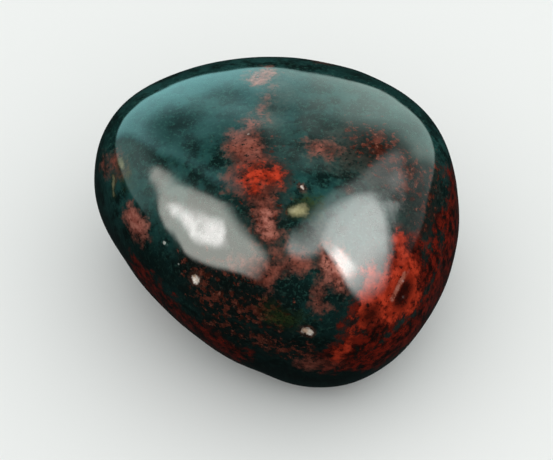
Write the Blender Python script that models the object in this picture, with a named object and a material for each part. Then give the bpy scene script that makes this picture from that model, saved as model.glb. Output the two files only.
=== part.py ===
"""A tumbled bloodstone: one polished pebble, worn from a broken chunk of green and red stone.

The pebble starts as a chunk with flat broken sides. Tumbling rounds the edges between the flats,
leaves low swells and a few shallow dents, and one side is flat enough to rest on.
+X is its width, +Y its depth, +Z up. The origin is at the middle of the side that it rests on.
"""

import math

import bmesh
import bpy
from mathutils import Vector, noise

MM = 0.001

# Driving dimensions: the worn pebble's three extents.
WIDTH = 34.0 * MM
DEPTH = 33.6 * MM
HEIGHT = 22.6 * MM

# The flat to rest on: how deep it cuts into the rounded underside, and its rounded edge.
REST_CUT = 1.0 * MM
REST_EDGE = 0.8 * MM

# The broken chunk's flats: name, azimuth and elevation in degrees, distance from the middle.
# Azimuth 0 faces +X and 90 faces +Y.
FLATS = (
    ("crown", 95, 82, 10.8 * MM),
    ("underside", 0, -90, 10.4 * MM),
    ("back", 98, 14, 16.2 * MM),
    ("back right", 50, 16, 15.2 * MM),
    ("right", 10, 6, 16.4 * MM),
    ("right side", -12, 0, 16.6 * MM),
    ("front right", -40, -14, 17.9 * MM),
    ("front", -70, -16, 19.6 * MM),
    ("front left", 248, -8, 13.7 * MM),
    ("left flank", 208, -8, 13.5 * MM),
    ("left", 172, 6, 17.0 * MM),
    ("back left", 138, 15, 17.0 * MM),
    ("left shoulder", 223, 46, 13.2 * MM),
    ("right shoulder", -42, 44, 14.6 * MM),
    ("back shoulder", 92, 50, 15.2 * MM),
    ("under back", 80, -46, 13.8 * MM),
    ("under left", 216, -48, 12.1 * MM),
    ("under right", -56, -42, 17.8 * MM),
    ("low right", -6, -46, 14.8 * MM),
    ("low back left", 150, -44, 14.8 * MM),
)

# How crisp wear leaves the edges between the flats: a higher number is crisper.
EDGE_KEEN = 7.0

# Low swells left by uneven grinding: height, waves around the stone, place in the noise.
SWELLS = (
    (0.22 * MM, 1.6, Vector((3.1, 7.4, 1.9))),
    (0.07 * MM, 3.8, Vector((9.2, 0.6, 5.3))),
)

# Shallow dents: name, azimuth, elevation, radius and depth.
DENTS = (
    ("dent in the right flank", -31, -4, 2.4 * MM, 0.18 * MM),
    ("dent in the left flank", 214, 4, 3.0 * MM, 0.16 * MM),
    ("dent low at the back", 68, -18, 3.6 * MM, 0.30 * MM),
    ("chip under the front", -96, -34, 1.9 * MM, 0.25 * MM),
)

# Faces along each edge of the cube that is rounded into the pebble.
FACES_PER_EDGE = 24

COLOUR = (0.012, 0.042, 0.033, 1.0)
ROUGHNESS = 0.1


def clear_scene():
    for thing in list(bpy.data.objects):
        bpy.data.objects.remove(thing, do_unlink=True)


def toward(azimuth, elevation):
    """The unit direction at an azimuth and elevation in degrees."""
    turn = math.radians(azimuth)
    lift = math.radians(elevation)
    return Vector((math.cos(turn) * math.cos(lift), math.sin(turn) * math.cos(lift), math.sin(lift)))


def worn_radius(direction, flats):
    """The distance from the middle to the surface of the flats and their rounded edges."""
    total = 0.0
    for normal, distance in flats:
        facing = direction.dot(normal)
        if facing > 0.0:
            total += (facing / distance) ** EDGE_KEEN
    return total ** (-1.0 / EDGE_KEEN)


def swell(direction):
    """How far the low swells lift the surface at a direction."""
    return sum(height * noise.noise(direction * waves + place) for height, waves, place in SWELLS)


def dent_depth(point, dents):
    """How deep the dents are at a point of the surface."""
    depth = 0.0
    for centre, radius, deepest in dents:
        depth += deepest * math.exp(-((point - centre).length / radius) ** 2)
    return depth


def surface(directions):
    """The worn surface's points, one for each direction from the middle."""
    flats = [(toward(azimuth, elevation), distance) for name, azimuth, elevation, distance in FLATS]
    dents = []
    for name, azimuth, elevation, radius, deepest in DENTS:
        centre = toward(azimuth, elevation)
        dents.append((centre * worn_radius(centre, flats), radius, deepest))
    points = []
    for direction in directions:
        radius = worn_radius(direction, flats)
        radius -= dent_depth(direction * radius, dents)
        points.append(direction * (radius + swell(direction)))
    return points


def fit_between(values, low, high):
    """The values moved and scaled so that they run from low to high."""
    start = min(values)
    scale = (high - low) / (max(values) - start)
    return [low + (value - start) * scale for value in values]


def rest_height(height):
    """A height lifted to the resting flat at zero, with a rounded edge where the flat ends."""
    overlap = max(REST_EDGE - abs(height), 0.0) / REST_EDGE
    return max(height, 0.0) + overlap ** 2 * REST_EDGE / 4.0


def quad_sphere(faces_per_edge):
    """A unit sphere of even quads, from a cube whose faces are cut in a grid."""
    sphere = bmesh.new()
    bmesh.ops.create_cube(sphere, size=2.0)
    bmesh.ops.subdivide_edges(sphere, edges=sphere.edges[:], cuts=faces_per_edge - 1, use_grid_fill=True)
    for vertex in sphere.verts:
        spread = [math.tan(value * math.pi / 4.0) for value in vertex.co]
        vertex.co = Vector(spread).normalized()
    return sphere


def pebble_mesh():
    """The pebble as a closed mesh, standing on its resting flat."""
    pebble = quad_sphere(FACES_PER_EDGE)
    points = surface([vertex.co.copy() for vertex in pebble.verts])
    across = fit_between([point.x for point in points], -WIDTH / 2.0, WIDTH / 2.0)
    along = fit_between([point.y for point in points], -DEPTH / 2.0, DEPTH / 2.0)
    heights = fit_between([point.z for point in points], -REST_CUT, HEIGHT)
    for vertex, x, y, z in zip(pebble.verts, across, along, heights):
        vertex.co = Vector((x, y, rest_height(z)))
    resting = [face for face in pebble.faces if all(vertex.co.z == 0.0 for vertex in face.verts)]
    bmesh.ops.dissolve_faces(pebble, faces=resting)
    bmesh.ops.recalc_face_normals(pebble, faces=pebble.faces[:])
    mesh = bpy.data.meshes.new("bloodstone")
    pebble.to_mesh(mesh)
    pebble.free()
    mesh.shade_smooth()
    return mesh


def polished_stone():
    """Dark green chalcedony with a tumbled polish."""
    material = bpy.data.materials.new("tumble polished bloodstone")
    material.use_nodes = True
    shader = material.node_tree.nodes["Principled BSDF"]
    shader.inputs["Base Color"].default_value = COLOUR
    shader.inputs["Roughness"].default_value = ROUGHNESS
    shader.inputs["Metallic"].default_value = 0.0
    return material


def main():
    clear_scene()
    collection = bpy.data.collections.new("Bloodstone")
    bpy.context.scene.collection.children.link(collection)
    mesh = pebble_mesh()
    mesh.materials.append(polished_stone())
    pebble = bpy.data.objects.new("bloodstone", mesh)
    collection.objects.link(pebble)


main()
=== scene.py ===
"""A tumbled bloodstone on a pale table.

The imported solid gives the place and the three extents. The stone shown here has the same worn form
with a finer surface, and the green, red and brown of the real stone.
"""

import math
import random

import bmesh
import bpy
import numpy
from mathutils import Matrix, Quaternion, Vector, noise


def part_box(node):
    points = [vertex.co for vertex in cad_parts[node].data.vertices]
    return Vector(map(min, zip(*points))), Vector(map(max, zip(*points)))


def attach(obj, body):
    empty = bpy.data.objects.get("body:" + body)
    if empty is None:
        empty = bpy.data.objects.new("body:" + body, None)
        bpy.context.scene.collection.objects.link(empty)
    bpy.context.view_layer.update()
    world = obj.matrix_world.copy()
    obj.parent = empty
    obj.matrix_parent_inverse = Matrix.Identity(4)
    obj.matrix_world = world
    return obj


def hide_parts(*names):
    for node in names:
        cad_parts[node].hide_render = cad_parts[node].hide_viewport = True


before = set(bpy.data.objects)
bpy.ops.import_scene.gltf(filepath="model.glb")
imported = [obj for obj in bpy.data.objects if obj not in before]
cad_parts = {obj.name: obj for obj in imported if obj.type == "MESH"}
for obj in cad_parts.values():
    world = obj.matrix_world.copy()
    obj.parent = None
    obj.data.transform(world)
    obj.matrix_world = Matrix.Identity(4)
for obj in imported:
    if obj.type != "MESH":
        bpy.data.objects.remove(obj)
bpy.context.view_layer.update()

LOW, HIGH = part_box("bloodstone")

MM = 0.001

# The flat to rest on: how deep it cuts into the rounded underside, and its rounded edge.
REST_CUT = 1.0 * MM
REST_EDGE = 0.8 * MM

# The broken chunk's flats: name, azimuth and elevation in degrees, distance from the middle.
# Azimuth 0 faces +X and 90 faces +Y.
FLATS = (
    ("crown", 95, 82, 10.8 * MM),
    ("underside", 0, -90, 10.4 * MM),
    ("back", 98, 14, 16.2 * MM),
    ("back right", 50, 16, 15.2 * MM),
    ("right", 10, 6, 16.4 * MM),
    ("right side", -12, 0, 16.6 * MM),
    ("front right", -40, -14, 17.9 * MM),
    ("front", -70, -16, 19.6 * MM),
    ("front left", 248, -8, 13.7 * MM),
    ("left flank", 208, -8, 13.5 * MM),
    ("left", 172, 6, 17.0 * MM),
    ("back left", 138, 15, 17.0 * MM),
    ("left shoulder", 223, 46, 13.2 * MM),
    ("right shoulder", -42, 44, 14.6 * MM),
    ("back shoulder", 92, 50, 15.2 * MM),
    ("under back", 80, -46, 13.8 * MM),
    ("under left", 216, -48, 12.1 * MM),
    ("under right", -56, -42, 17.8 * MM),
    ("low right", -6, -46, 14.8 * MM),
    ("low back left", 150, -44, 14.8 * MM),
)

# How crisp wear leaves the edges between the flats: a higher number is crisper.
EDGE_KEEN = 7.0

# Low swells left by uneven grinding: height, waves around the stone, place in the noise.
SWELLS = (
    (0.22 * MM, 1.6, Vector((3.1, 7.4, 1.9))),
    (0.07 * MM, 3.8, Vector((9.2, 0.6, 5.3))),
    (0.003 * MM, 14.0, Vector((2.7, 8.8, 4.1))),
)

# Shallow dents, and a low rise with a depth below zero: name, azimuth, elevation, radius and depth.
DENTS = (
    ("dent in the right flank", -31, -4, 2.4 * MM, 0.18 * MM),
    ("dent in the left flank", 214, 4, 3.0 * MM, 0.16 * MM),
    ("dent low at the back", 68, -18, 3.6 * MM, 0.30 * MM),
    ("chip under the front", -96, -34, 1.9 * MM, 0.25 * MM),
    ("low rise on the right shoulder", -37.7, 44.2, 1.7 * MM, -0.08 * MM),
)

# Faces along each edge of the cube that is rounded into the pebble.
FACES_PER_EDGE = 110

# Small worn bruises and pits: name, azimuth, elevation, radius and depth.
DINGS = (
    ("pit in the red patch", -50.0, 13.4, 0.55 * MM, 0.15 * MM),
    ("scratch over the pit, upper end", -43.9, 18.8, 0.30 * MM, 0.05 * MM),
    ("scratch over the pit, middle", -48.0, 17.6, 0.35 * MM, 0.07 * MM),
    ("scratch over the pit, lower end", -53.1, 16.1, 0.30 * MM, 0.05 * MM),
    ("bruise left of the front", -121.4, 20.6, 0.42 * MM, 0.13 * MM),
    ("bruise at the front", -81.8, 12.3, 0.45 * MM, 0.08 * MM),
    ("nick in the left flank, upper end", -129.4, 22.9, 0.25 * MM, 0.05 * MM),
    ("nick in the left flank, lower end", -125.5, 21.2, 0.25 * MM, 0.05 * MM),
    ("bruise on the left shoulder", -138.6, 26.6, 0.30 * MM, 0.05 * MM),
)

# The fine mesh round a ding: how far it reaches, in the ding's radii, and the cuts in each edge there.
DING_REACH = 3.2
DING_CUTS = 3

# The stone's radius as a round number, which turns the size of a ding into an angle.
MEAN_RADIUS = 16.0 * MM

# The markings on the sides that the photograph shows, with painted shade, painted glints and a painted
# reflection among them.
# Each kind is a colour, and each row is one stroke of it: its name, both of its ends in mm from the origin,
# and its half width in mm.
MARKINGS = {
    # The black green strokes on the low flanks and the front are painted shade: they darken the stone low
    # down, where it is turned from the light.
    "black green and painted shade": (
        ("left flank", (-15.0, -4.5, 8.0), (-6.5, -12.5, 8.0), 4.5),
        ("left flank, upper", (-13.0, -6.8, 13.6), (-8.0, -11.4, 13.6), 2.2),
        ("front foot", (-5.0, -13.5, 6.5), (6.0, -16.0, 6.0), 3.5),
        ("front, under the pale grain", (-1.0, -16.2, 12.0), (3.5, -16.6, 12.0), 1.6),
        ("front, left of the red patch", (5.6, -15.3, 16.2), (5.2, -16.4, 13.4), 1.9),
        ("front, among the brown specks", (-7.5, -10.6, 16.4), (-1.0, -14.6, 16.6), 2.2),
    ),
    "red jasper": (
        ("middle streak, heart", (-2.6, -5.2, 22.4), (-0.5, -5.2, 22.6), 0.75),
        ("middle streak, below the heart", (-1.9, -5.6, 22.5), (-1.9, -7.0, 22.3), 0.35),
        ("right patch, peak", (11.4, -9.4, 17.8), (11.2, -10.7, 16.9), 0.7),
        ("right patch, top", (11.4, -10.8, 16.6), (11.9, -11.6, 15.0), 1.3),
        ("right patch, middle", (11.6, -12.3, 14.2), (9.9, -13.3, 15.6), 1.6),
        ("right patch, lit side", (8.6, -12.4, 17.7), (8.6, -13.9, 16.5), 1.0),
        ("right patch, lower right", (12.5, -12.0, 13.4), (10.6, -13.9, 13.8), 1.1),
        ("right patch, foot", (9.2, -14.6, 14.9), (7.6, -15.9, 14.3), 0.8),
        ("low streak", (6.2, -16.7, 11.6), (5.3, -16.5, 9.9), 0.3),
    ),
    "brown jasper": (
        ("middle streak, top", (-2.4, 1.6, 22.1), (-2.2, 0.4, 22.2), 0.5),
        ("middle streak, upper", (-3.1, -0.9, 22.3), (-2.6, -2.4, 22.4), 1.35),
        ("middle streak, neck", (-2.6, -2.4, 22.4), (-2.3, -5.4, 22.5), 0.9),
        ("middle streak, round the heart", (-3.4, -5.4, 22.2), (-1.2, -6.4, 22.4), 1.0),
        ("middle streak, tail", (-1.5, -7.4, 22.2), (-0.6, -11.1, 21.2), 0.6),
        ("fleck behind the middle", (3.5, -1.6, 22.4), (4.9, -1.8, 22.3), 0.5),
        ("fleck on the left shoulder", (-13.1, -5.2, 16.2), (-12.8, -6.0, 16.0), 1.0),
        ("fleck on the back edge", (-1.6, 8.2, 20.9), (-1.2, 9.4, 20.2), 0.6),
        ("veil behind the streak", (-0.6, 6.4, 21.5), (-1.6, 2.4, 22.1), -0.1),
        ("left rim", (-14.5, 0.2, 18.5), (-14.2, -0.9, 18.6), 0.4),
        ("below the left rim", (-15.9, 1.2, 16.9), (-15.7, 0.4, 16.9), 0.2),
        ("spot under the right shoulder", (4.9, -12.9, 19.9), (5.8, -14.1, 18.5), 1.0),
        ("spot below the shoulder", (3.9, -15.2, 18.0), (3.9, -15.8, 17.2), 0.35),
        ("front cluster, left", (-3.2, -12.4, 18.9), (-0.8, -14.0, 18.7), 0.6),
        ("front cluster, right", (-0.2, -13.7, 19.2), (2.1, -13.4, 20.1), 0.6),
        ("foot of the low streak", (5.0, -16.4, 9.4), (2.8, -16.2, 8.6), 0.5),
    ),
    "pink jasper": (
        ("spot on the left shoulder", (-13.2, -5.1, 16.2), (-12.7, -5.9, 16.2), 0.75),
        ("back edge", (-1.5, 8.0, 20.9), (-1.3, 8.8, 20.5), 0.2),
        ("end of the streak", (-1.0, -9.6, 21.7), (-0.7, -10.6, 21.4), 0.1),
        ("spot under the right shoulder", (5.0, -13.1, 19.8), (5.5, -13.7, 18.9), 0.3),
    ),
    # The dark jasper strokes are red jasper with painted shade: darker along the right rim, round and under
    # the red patch and on the left flank, where the stone turns from the light.
    "dark jasper and painted shade": (
        ("right rim, upper", (16.2, -0.6, 15.8), (16.4, -3.4, 13.6), 1.7),
        ("right rim, middle", (16.4, -3.4, 13.6), (15.6, -7.0, 10.2), 2.6),
        ("right rim, lower", (15.0, -8.1, 10.0), (13.0, -11.5, 9.0), 2.8),
        ("right rim, foot", (13.0, -11.5, 9.0), (10.0, -14.4, 9.0), 2.6),
        ("round the patch", (11.8, -10.5, 15.8), (9.0, -14.8, 14.0), 2.8),
        ("between the patch and the rim, upper", (14.9, -5.0, 16.4), (14.4, -8.4, 14.2), 1.0),
        ("between the patch and the rim, lower", (14.4, -8.4, 14.2), (12.4, -12.2, 13.0), 1.5),
        ("under the patch", (8.5, -15.5, 12.0), (5.0, -16.6, 9.8), 1.8),
        ("left flank", (-12.0, -7.5, 9.5), (-5.0, -13.0, 6.5), 2.6),
    ),
    "brown specks": (
        ("left of the front, high", (-7.5, -11.0, 16.2), (-1.9, -13.5, 18.6), 1.6),
        ("left of the front, middle", (-6.2, -12.6, 14.6), (-0.5, -15.4, 15.0), 2.4),
        ("left of the front, low", (-5.0, -13.6, 11.8), (2.5, -16.6, 10.4), 1.9),
        ("right shoulder", (8.6, -0.3, 22.0), (12.2, -4.0, 20.4), 2.6),
        ("round the streak", (-2.0, -1.0, 22.3), (-1.0, -9.5, 22.0), 1.8),
        ("right side", (13.8, -2.0, 18.8), (13.4, -6.5, 17.8), 1.7),
    ),
    "grey film": (
        ("veil behind the streak", (0.0, 8.0, 21.0), (-1.0, 2.0, 22.1), 1.0),
        ("round the streak", (-3.0, -2.0, 22.2), (-0.6, -9.5, 22.0), 1.6),
        ("right shoulder", (7.0, -2.0, 22.2), (12.5, -3.5, 20.4), 3.2),
        ("right side", (13.6, -4.0, 18.6), (12.6, -8.0, 17.6), 1.8),
        ("front shoulder", (-1.0, -12.6, 20.4), (3.8, -11.6, 20.8), 1.4),
    ),
    "cream": (
        ("cream spot", (1.8, -9.2, 22.2), (2.4, -9.0, 22.2), 0.60),
        # The two strokes at and below the left rim are a painted reflection: pale streaks where the polish
        # mirrors something bright beside the stone.
        ("left rim", (-14.3, -0.3, 18.8), (-14.2, -0.8, 18.7), 0.3),
        ("below the left rim", (-15.0, -1.0, 17.4), (-15.0, -2.1, 16.3), 0.10),
    ),
    "olive green": (
        ("at the front", (0.0, -15.9, 15.4), (1.6, -16.0, 15.2), 0.9),
        ("right of the cream spot", (2.6, -8.2, 22.4), (3.4, -8.6, 22.2), 0.5),
        ("left shoulder", (-13.0, -0.5, 19.0), (-13.6, -2.0, 18.2), 0.5),
    ),
    "quartz grains and painted glints": (
        # The listed quartz grains are painted glints: bright dots with a darker rim where the polish catches
        # a light. The strewn ones are pale grains of quartz.
        ("left of the front", (-7.5, -11.6, 15.6), (-7.4, -11.7, 15.5), 0.38),
        ("at the front", (2.6, -16.6, 14.1), (2.9, -16.6, 14.0), 0.40),
        ("beside the cream spot", (2.3, -6.6, 22.5), (2.4, -6.8, 22.5), 0.06),
        ("on the streak", (-2.6, 0.1, 22.2), (-2.5, 0.1, 22.2), 0.04),
        ("right of the middle", (6.6, -6.4, 21.9), (6.7, -6.4, 21.9), 0.06),
    ),
    # These strokes are painted shade inside the pit and the notch in the red patch.
    "painted shade in hollows": (
        ("pit in the red patch", (11.8, -12.1, 14.7), (11.3, -12.8, 14.2), 0.75),
        ("low in the red patch", (8.8, -15.1, 14.8), (8.1, -15.3, 14.5), 0.4),
    ),
    # This stroke is a painted glint: a pale line where the scratch over the pit catches the light.
    "painted glints on scratches": (
        ("over the pit", (11.7, -11.2, 15.7), (10.6, -13.4, 14.8), 0.2),
    ),
}

# The hidden sides have the same kinds of marking, strewn by chance: how many there are of each kind,
# and their usual length and half width in mm.
STREWN = {
    "black green and painted shade": (6, 5.0, 3.0),
    "red jasper": (20, 2.2, 0.8),
    "brown jasper": (16, 2.4, 0.7),
    "pink jasper": (6, 1.4, 0.5),
    "dark jasper and painted shade": (7, 4.0, 1.6),
    "brown specks": (8, 5.0, 2.2),
    "grey film": (6, 5.0, 2.0),
    "cream": (4, 0.7, 0.3),
    "olive green": (6, 1.6, 0.9),
    "quartz grains and painted glints": (12, 0.2, 0.35),
    "painted shade in hollows": (5, 0.8, 0.5),
    "painted glints on scratches": (3, 1.0, 0.14),
}
STREWN_SEED = 11

# The smallest and the largest share of its usual size that a strewn marking may have.
STREWN_SMALLEST = 0.4
STREWN_LARGEST = 1.2

# The highest that a strewn marking lies, as the sine of its elevation.
STREWN_TOP = 0.8

# Strewn markings start only where the stone faces away from the camera, by this cosine or more.
SEEN_LIMIT = -0.1

# Past this many mm outside a marking, the stone has none of its colour.
MARKING_FAR = 6.0

# The noise patterns in the stone: size, detail and roughness. The real specks and grain go down to
# some hundredths of a mm, and are drawn here as coarse as they need to be to show.
PATTERNS = {
    "broad": (7.0 * MM, 4.0, 0.55),
    "middling": (2.4 * MM, 5.0, 0.62),
    "ripple": (1.1 * MM, 2.0, 0.5),
    "small": (0.95 * MM, 4.0, 0.65),
    "speck": (0.62 * MM, 3.0, 0.6),
    "grain": (0.36 * MM, 3.0, 0.7),
}

# The green ground starts from a deep green, and each row lays one more colour over it: the pattern
# that it follows, the pattern's values where it starts and is full, its share there, and the colour.
DEEP_GREEN = "#12302d"
GROUND = (
    ("broad", 0.40, 0.62, 1.0, "#1f4542"),
    ("middling", 0.55, 0.42, 1.0, "#0b1c1a"),
    ("grain", 0.52, 0.66, 0.5, "#2f5a50"),
    ("small", 0.60, 0.68, 0.7, "#0a1613"),
)

# The layers of colour over the ground, in two lines each. The first line has the kind of marking, the
# patterns that give its edge lobes and how strong each is in mm, where it starts and is full in mm
# inside its outline, and its share there. The second has its darker and its lighter colour, its
# flecks' colour, and the grain's values where the flecks start and are full.
LAYERS = (
    # The black green layer is painted shade on the low flanks and the front, and a dark green tone where it
    # is strewn.
    ("black green and painted shade", {"middling": 6.0, "small": 3.0}, -2.5, 2.5, 0.85,
     "#070c0b", "#0d1513", "#17241f", 0.54, 0.66),
    ("grey film", {"middling": 6.0, "small": 3.0}, -1.2, 1.8, 0.6,
     "#3c3a33", "#4a433b", "#1c2a26", 0.50, 0.38),
    # The dark jasper layer is red jasper darkened by painted shade where listed, and a dark red tone where it
    # is strewn.
    ("dark jasper and painted shade", {"middling": 6.0, "small": 4.0, "grain": 2.0}, -0.8, 0.6, 1.0,
     "#1c0906", "#7a1f12", "#0f1512", 0.56, 0.66),
    ("brown specks", {"middling": 4.0, "small": 1.0}, -1.2, 1.2, 0.7,
     "#0c100e", "#0f1310", "#1a1210", 0.45, 0.60),
    ("brown specks", {"middling": 3.0, "speck": 14.0}, 1.2, 2.4, 0.9,
     "#38180f", "#683428", "#845040", 0.56, 0.68),
    ("brown jasper", {"middling": 3.2, "small": 2.6, "grain": 1.4}, -0.9, 0.6, 0.92,
     "#5e2d23", "#915244", "#1d1a16", 0.44, 0.34),
    ("pink jasper", {"middling": 2.6, "small": 2.0, "grain": 1.0}, -0.8, 0.5, 0.95,
     "#98564a", "#bd7c6c", "#6a342a", 0.46, 0.36),
    ("red jasper", {"middling": 3.2, "small": 2.6, "grain": 1.6}, -1.5, 0.0, 0.6,
     "#3a140e", "#4a180f", "#3a140e", 0.0, 1.0),
    ("red jasper", {"middling": 3.2, "small": 2.6, "grain": 1.6}, -0.4, 0.4, 1.0,
     "#8c2816", "#bc3c24", "#3c0f0a", 0.42, 0.32),
    # Painted shade in the hollows: near-black red where the pit and the notch lie in shade.
    ("painted shade in hollows", {"small": 2.0, "grain": 1.0}, -0.7, 0.2, 0.95,
     "#180604", "#320e08", "#120c0a", 0.50, 0.62),
    # Painted glints on scratches: pale lines where a scratch catches the light.
    ("painted glints on scratches", {"grain": 0.3}, -0.16, 0.06, 0.8,
     "#a05c48", "#bc8070", "#7c3c2c", 0.50, 0.40),
    ("olive green", {"middling": 3.2, "small": 2.6}, -0.8, 0.8, 0.8,
     "#1b2912", "#31401f", "#10180e", 0.46, 0.36),
    ("cream", {"small": 0.8, "grain": 0.5}, -0.55, 0.0, 0.8,
     "#232c1c", "#2a3320", "#232c1c", 0.0, 1.0),
    ("cream", {"small": 0.8, "grain": 0.5}, -0.15, 0.45, 0.9,
     "#a8a27a", "#cac39c", "#8a865e", 0.0, 1.0),
    # The quartz grains' two layers, a dark rim and a pale dot, are painted glints where they are listed.
    ("quartz grains and painted glints", {"small": 0.6, "grain": 0.5}, -0.50, 0.0, 0.8,
     "#4a2a20", "#6b4436", "#2c1a14", 0.50, 0.40),
    ("quartz grains and painted glints", {"small": 0.6, "grain": 0.5}, -0.10, 0.12, 1.0,
     "#d9b89c", "#efe6d8", "#f4eee4", 0.45, 0.60),
)

# The small pattern's values where a layer is in its darker and in its lighter colour.
DARKER_AT = 0.42
LIGHTER_AT = 0.62

# The polish: the small pattern's values where it is glossiest and dullest, and its roughness there.
GLOSSY_AT = 0.35
DULL_AT = 0.65
GLOSSY_ROUGHNESS = 0.05
DULL_ROUGHNESS = 0.10
CHALCEDONY_IOR = 1.54

# How deep the polish ripples: enough to show at the edges of the highlights alone.
RIPPLE_DEPTH = 0.003 * MM

# What the polish mirrors: the walls, windows and ceiling of a dim room. Angles are in degrees. Each row
# has the azimuth of its middle, and four azimuths from there where its light starts, is full, stays
# full and ends. The sill is the two elevations between which its light grows. Its lower and upper
# edges each have a slant, which is how far they drop for each degree round, and the two elevations at
# its middle between which its light grows or ends. Radiance and colour end the row.
DARK_OF_THE_ROOM = "#1a2020"
WINDOWS = (
    ("far wall, left half", 120, (-40, -22, 15, 40), (0, 4), (0.0, -9, 0), (-0.45, 24, 54), 3.25, "#aff8fa"),
    ("far wall, right half", 60, (-50, -24, 20, 38), (0, 4), (0.0, -9, 0), (0.0, 26, 50), 2.8, "#dcfbf2"),
    ("left end wall", 165, (-35, -5, 12, 30), (0, 4), (0.0, -9, 0), (0.0, 32, 54), 1.4, "#c8f4ee"),
    ("right end wall", 10, (-20, 0, 20, 40), (0, 4), (0.0, -9, 0), (0.0, 20, 50), 1.1, "#d8f0ec"),
    ("left window", 195, (-27, -18, 14, 32), (3.5, 9.5), (1.4, 10.5, 17), (0.2, 36, 49), 6.4, "#f6f8ee"),
    ("left window, sun side", 194, (-8, -1, 4, 9), (4, 10), (1.0, 23, 28), (1.0, 28.5, 33.5),
     18.5, "#fffcf8"),
    ("right window", 345, (-22, -14, 26, 46), (0, 26), (-1.9, 0, 8), (0.2, 46, 74), 10.5, "#f4f8f4"),
    ("right window, far side", 5, (-34, -22, 20, 55), (0, 26), (-0.75, 33, 47), (0.0, 50, 76),
     9.5, "#f4f8f4"),
    ("right window, sun side", 336, (-7, -4, 3, 9), (3, 9), (0.0, 19, 29), (0.0, 38, 50), 20.0, "#fffcf8"),
    ("ceiling by the right window", 315, (-85, -60, 45, 105), (3, 9), (0.0, 50, 64), (0.0, 60, 92),
     5.2, "#f0f6f2"),
    ("ceiling on the right", 30, (-32, -10, 8, 30), (3, 9), (0.0, 40, 50), (0.0, 62, 78), 1.9, "#f0f6f2"),
)

# The room as the camera sees it past the table: plain and pale.
BACKDROP = "#dfe2e1"

# The soft light from above: its irradiance, how wide it is, and its azimuth and elevation.
SKY_STRENGTH = 3.5
SKY_ANGLE = math.radians(150.0)
SKY_DIRECTION = (-30, 80)

# The table: half its width, its colour and its roughness.
TABLE_HALF_WIDTH = 0.6
TABLE_COLOUR = "#e9ecea"
TABLE_ROUGHNESS = 0.8

# The camera: its azimuth and elevation, its distance from the point that it looks at, and its lens in mm.
VIEW = (-90, 50)
VIEW_DISTANCE = 0.6
VIEW_CENTRE = Vector((0.0, -0.001, 0.0098))
LENS = 420.0


def toward(azimuth, elevation):
    """The unit direction at an azimuth and elevation in degrees."""
    turn = math.radians(azimuth)
    lift = math.radians(elevation)
    return Vector((math.cos(turn) * math.cos(lift), math.sin(turn) * math.cos(lift), math.sin(lift)))


def worn_radius(direction, flats):
    """The distance from the middle to the surface of the flats and their rounded edges."""
    total = 0.0
    for normal, distance in flats:
        facing = direction.dot(normal)
        if facing > 0.0:
            total += (facing / distance) ** EDGE_KEEN
    return total ** (-1.0 / EDGE_KEEN)


def swell(direction):
    """How far the low swells lift the surface at a direction."""
    return sum(height * noise.noise(direction * waves + place) for height, waves, place in SWELLS)


def dent_depth(point, dents):
    """How deep the dents are at a point of the surface."""
    depth = 0.0
    for centre, radius, deepest in dents:
        depth += deepest * math.exp(-((point - centre).length / radius) ** 2)
    return depth


def surface(directions):
    """The worn surface's points, one for each direction from the middle."""
    flats = [(toward(azimuth, elevation), distance) for name, azimuth, elevation, distance in FLATS]
    dents = []
    for name, azimuth, elevation, radius, deepest in DENTS + DINGS:
        centre = toward(azimuth, elevation)
        dents.append((centre * worn_radius(centre, flats), radius, deepest))
    points = []
    for direction in directions:
        radius = worn_radius(direction, flats)
        radius -= dent_depth(direction * radius, dents)
        points.append(direction * (radius + swell(direction)))
    return points


def fit_between(values, low, high):
    """The values moved and scaled so that they run from low to high."""
    start = min(values)
    scale = (high - low) / (max(values) - start)
    return [low + (value - start) * scale for value in values]


def rest_height(height):
    """A height lifted to the resting flat at zero, with a rounded edge where the flat ends."""
    overlap = max(REST_EDGE - abs(height), 0.0) / REST_EDGE
    return max(height, 0.0) + overlap ** 2 * REST_EDGE / 4.0


def quad_sphere(faces_per_edge):
    """A unit sphere of even quads, from a cube whose faces are cut in a grid."""
    sphere = bmesh.new()
    bmesh.ops.create_cube(sphere, size=2.0)
    bmesh.ops.subdivide_edges(sphere, edges=sphere.edges[:], cuts=faces_per_edge - 1, use_grid_fill=True)
    for vertex in sphere.verts:
        spread = [math.tan(value * math.pi / 4.0) for value in vertex.co]
        vertex.co = Vector(spread).normalized()
    return sphere


def refine_for_dings(sphere):
    """Cut the sphere's faces finer round each small ding."""
    edges = set()
    for name, azimuth, elevation, radius, deepest in DINGS:
        centre = toward(azimuth, elevation)
        near = math.cos(DING_REACH * radius / MEAN_RADIUS)
        edges.update(edge for edge in sphere.edges if edge.verts[0].co.dot(centre) > near)
    bmesh.ops.subdivide_edges(sphere, edges=list(edges), cuts=DING_CUTS, use_grid_fill=True)
    for vertex in sphere.verts:
        vertex.co.normalize()


def strewn_markings(kind, chance):
    """More markings of a kind for the sides that the photograph doesn't show."""
    count, length, half_width = STREWN[kind]
    placed = []
    while len(placed) < count:
        azimuth = chance.uniform(0.0, 360.0)
        elevation = math.degrees(math.asin(chance.uniform(-1.0, STREWN_TOP)))
        way = toward(azimuth, elevation)
        turn = chance.uniform(0.0, 2.0 * math.pi)
        size = chance.uniform(STREWN_SMALLEST, STREWN_LARGEST)
        if way.dot(toward(*VIEW)) > SEEN_LIMIT:
            continue
        # The oval in the stone's box is near enough to its surface.
        start = Vector((way.x * HIGH.x, way.y * HIGH.y, HIGH.z * (0.5 + way.z / 2.0))) / MM
        along = way.orthogonal().normalized()
        along.rotate(Quaternion(way, turn))
        placed.append((kind, start, start + along * length * size, half_width * size))
    return placed


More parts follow.
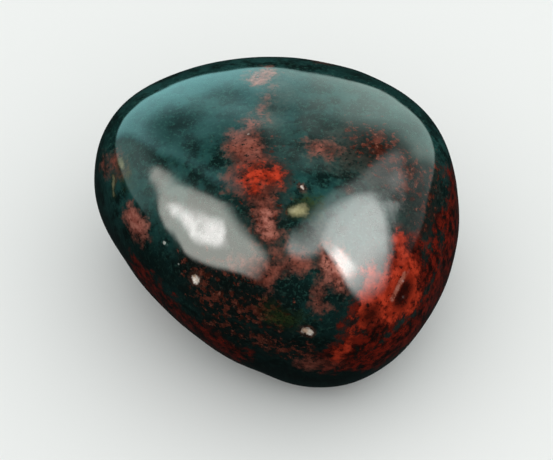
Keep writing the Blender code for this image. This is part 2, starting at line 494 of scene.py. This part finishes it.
def marking_reach(points, markings):
    """How far inside the nearest marking each point is, in mm: negative outside it."""
    reach = numpy.full(len(points), -MARKING_FAR)
    for name, start, end, half_width in markings:
        start = numpy.array(start)
        along = numpy.array(end) - start
        share = numpy.clip((points - start) @ along / (along @ along), 0.0, 1.0)
        gap = numpy.linalg.norm(points - start - share[:, None] * along, axis=1)
        reach = numpy.maximum(reach, half_width - gap)
    return reach


def pebble():
    """The pebble with its fine surface and its markings, standing on its resting flat."""
    stone = quad_sphere(FACES_PER_EDGE)
    refine_for_dings(stone)
    points = surface([vertex.co.copy() for vertex in stone.verts])
    across = fit_between([point.x for point in points], LOW.x, HIGH.x)
    along = fit_between([point.y for point in points], LOW.y, HIGH.y)
    heights = fit_between([point.z for point in points], -REST_CUT, HIGH.z)
    for vertex, x, y, z in zip(stone.verts, across, along, heights):
        vertex.co = Vector((x, y, rest_height(z)))
    bmesh.ops.recalc_face_normals(stone, faces=stone.faces[:])
    mesh = bpy.data.meshes.new("pebble")
    stone.to_mesh(mesh)
    stone.free()
    mesh.shade_smooth()
    places = numpy.array([vertex.co / MM for vertex in mesh.vertices])
    chance = random.Random(STREWN_SEED)
    for kind, markings in MARKINGS.items():
        every = list(markings) + strewn_markings(kind, chance)
        mesh.attributes.new(kind, "FLOAT", "POINT").data.foreach_set("value", marking_reach(places, every))
    piece = bpy.data.objects.new("pebble", mesh)
    bpy.context.scene.collection.objects.link(piece)
    return piece


def linear(hexadecimal):
    """An sRGB hex colour as linear red, green, blue and alpha."""
    channels = [int(hexadecimal[place:place + 2], 16) / 255.0 for place in (1, 3, 5)]
    curve = [c / 12.92 if c <= 0.04045 else ((c + 0.055) / 1.055) ** 2.4 for c in channels]
    return (*curve, 1.0)


def add(tree, kind, settings, inputs, output=0):
    """Add one node with its settings and what feeds its inputs, and give one of its outputs."""
    node = tree.nodes.new(kind)
    for name, value in settings.items():
        setattr(node, name, value)
    for name, value in inputs.items():
        if isinstance(value, bpy.types.NodeSocket):
            tree.links.new(value, node.inputs[name])
        else:
            node.inputs[name].default_value = value
    return node.outputs[output]


def polished_bloodstone():
    """Chalcedony dark with green minerals, with red jasper in it, tumbled to a glassy polish.

    The polish mirrors the windows sharply, and the colour lies under it in grains of a few tenths of a mm.
    """
    material = bpy.data.materials.new("bloodstone chalcedony, tumble polished")
    material.use_nodes = True
    tree = material.node_tree
    shader = tree.nodes["Principled BSDF"]
    place = add(tree, "ShaderNodeTexCoord", {}, {}, "Object")
    patterns = {}
    for name, (size, detail, roughness) in PATTERNS.items():
        patterns[name] = add(tree, "ShaderNodeTexNoise", {}, {
            "Vector": place, "Scale": 1.0 / size, "Detail": detail, "Roughness": roughness}, "Fac")
    colour = linear(DEEP_GREEN)
    for name, first, last, share, tint in GROUND:
        amount = add(tree, "ShaderNodeMapRange", {}, {
            "Value": patterns[name], "From Min": first, "From Max": last, "To Max": share})
        colour = add(tree, "ShaderNodeMix", {"data_type": "RGBA"}, {0: amount, 6: colour, 7: linear(tint)}, 2)
    for kind, lobes, outer, inner, share, darker, lighter, fleck, first, last in LAYERS:
        reach = add(tree, "ShaderNodeAttribute", {"attribute_name": kind}, {}, "Fac")
        for name, strength in lobes.items():
            reach = add(tree, "ShaderNodeMath", {"operation": "MULTIPLY_ADD"}, {
                0: patterns[name], 1: strength, 2: reach})
        level = sum(lobes.values()) / 2.0
        amount = add(tree, "ShaderNodeMapRange", {}, {
            "Value": reach, "From Min": level + outer, "From Max": level + inner, "To Max": share})
        shade = add(tree, "ShaderNodeMapRange", {}, {
            "Value": patterns["small"], "From Min": DARKER_AT, "From Max": LIGHTER_AT})
        tint = add(tree, "ShaderNodeMix", {"data_type": "RGBA"}, {
            0: shade, 6: linear(darker), 7: linear(lighter)}, 2)
        flecked = add(tree, "ShaderNodeMapRange", {}, {
            "Value": patterns["grain"], "From Min": first, "From Max": last})
        tint = add(tree, "ShaderNodeMix", {"data_type": "RGBA"}, {0: flecked, 6: tint, 7: linear(fleck)}, 2)
        colour = add(tree, "ShaderNodeMix", {"data_type": "RGBA"}, {0: amount, 6: colour, 7: tint}, 2)
    tree.links.new(colour, shader.inputs["Base Color"])
    polish = add(tree, "ShaderNodeMapRange", {}, {
        "Value": patterns["small"], "From Min": GLOSSY_AT, "From Max": DULL_AT,
        "To Min": GLOSSY_ROUGHNESS, "To Max": DULL_ROUGHNESS})
    tree.links.new(polish, shader.inputs["Roughness"])
    shader.inputs["IOR"].default_value = CHALCEDONY_IOR
    ripple = add(tree, "ShaderNodeBump", {}, {
        "Height": patterns["ripple"], "Distance": RIPPLE_DEPTH, "Strength": 1.0})
    tree.links.new(ripple, shader.inputs["Normal"])
    return material


def table_top():
    """The plain pale table: uncoated card, which scatters light evenly and shows soft shadows, no gloss."""
    top = bmesh.new()
    bmesh.ops.create_grid(top, x_segments=1, y_segments=1, size=TABLE_HALF_WIDTH)
    mesh = bpy.data.meshes.new("table top")
    top.to_mesh(mesh)
    top.free()
    material = bpy.data.materials.new("matt white card")
    material.use_nodes = True
    shader = material.node_tree.nodes["Principled BSDF"]
    shader.inputs["Base Color"].default_value = linear(TABLE_COLOUR)
    shader.inputs["Roughness"].default_value = TABLE_ROUGHNESS
    shader.inputs["Specular IOR Level"].default_value = 0.0
    mesh.materials.append(material)
    table = bpy.data.objects.new("table_top", mesh)
    table.visible_glossy = False
    table.visible_diffuse = False
    bpy.context.scene.collection.objects.link(table)


def window_light(tree, bearing, height, azimuth, sides, sill, lower, upper):
    """How much of one soft window a direction sees: 1 inside it and 0 outside."""
    ahead, across = (
        add(tree, "ShaderNodeVectorMath", {"operation": "DOT_PRODUCT"}, {0: bearing, 1: toward(turn, 0)}, 1)
        for turn in (azimuth, azimuth + 90))
    turned = add(tree, "ShaderNodeMath", {"operation": "ARCTAN2"}, {0: across, 1: ahead})
    turned = add(tree, "ShaderNodeMath", {"operation": "MULTIPLY"}, {0: turned, 1: math.degrees(1.0)})
    low, high = (
        add(tree, "ShaderNodeMath", {"operation": "MULTIPLY_ADD"}, {0: turned, 1: edge[0], 2: height})
        for edge in (lower, upper))
    light = None
    for angle, first, last, grows in (
            (height, *sill, True), (turned, *sides[:2], True), (turned, *sides[2:], False),
            (low, *lower[1:], True), (high, *upper[1:], False)):
        part = add(tree, "ShaderNodeMapRange", {"interpolation_type": "SMOOTHSTEP"}, {
            "Value": angle, "From Min": first, "From Max": last,
            "To Min": 0.0 if grows else 1.0, "To Max": 1.0 if grows else 0.0})
        if light:
            part = add(tree, "ShaderNodeMath", {"operation": "MULTIPLY"}, {0: part, 1: light})
        light = part
    return light


def room():
    """The dim room around the table: only the polish mirrors its windows, and the camera sees it plain."""
    world = bpy.data.worlds.new("room with soft windows")
    world.use_nodes = True
    bpy.context.scene.world = world
    world.cycles_visibility.diffuse = False
    tree = world.node_tree
    bearing = add(tree, "ShaderNodeTexCoord", {}, {}, "Generated")
    height = add(tree, "ShaderNodeSeparateXYZ", {}, {0: bearing}, "Z")
    height = add(tree, "ShaderNodeMath", {"operation": "ARCSINE"}, {0: height})
    height = add(tree, "ShaderNodeMath", {"operation": "MULTIPLY"}, {0: height, 1: math.degrees(1.0)})
    seen = linear(DARK_OF_THE_ROOM)
    for name, azimuth, sides, sill, lower, upper, radiance, colour in WINDOWS:
        light = window_light(tree, bearing, height, azimuth, sides, sill, lower, upper)
        glow = [channel * radiance for channel in linear(colour)[:3]] + [1.0]
        seen = add(tree, "ShaderNodeMix", {"data_type": "RGBA", "blend_type": "LIGHTEN"}, {
            0: light, 6: seen, 7: glow}, 2)
    camera_ray = add(tree, "ShaderNodeLightPath", {}, {}, "Is Camera Ray")
    seen = add(tree, "ShaderNodeMix", {"data_type": "RGBA"}, {
        0: camera_ray, 6: seen, 7: linear(BACKDROP)}, 2)
    tree.links.new(seen, tree.nodes["Background"].inputs["Color"])


def soft_sky():
    """The broad soft light from above: it lights the colours, and the polish mirrors the windows alone."""
    light = bpy.data.lights.new("soft sky", "SUN")
    light.angle = SKY_ANGLE
    light.energy = SKY_STRENGTH
    sky = bpy.data.objects.new("soft sky", light)
    sky.rotation_euler = toward(*SKY_DIRECTION).to_track_quat("Z", "Y").to_euler()
    sky.visible_glossy = False
    bpy.context.scene.collection.objects.link(sky)


def camera():
    """A long lens at the photograph's angle: about 50 degrees above the table."""
    view = bpy.data.cameras.new("camera")
    view.lens = LENS
    eye = bpy.data.objects.new("camera", view)
    away = toward(*VIEW)
    eye.location = VIEW_CENTRE + away * VIEW_DISTANCE
    eye.rotation_euler = away.to_track_quat("Z", "Y").to_euler()
    bpy.context.scene.collection.objects.link(eye)
    bpy.context.scene.camera = eye


stone = pebble()
stone.data.materials.append(polished_bloodstone())
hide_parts("bloodstone")
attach(stone, "root")
table_top()
room()
soft_sky()
camera()
bpy.context.scene.view_settings.view_transform = "Standard"
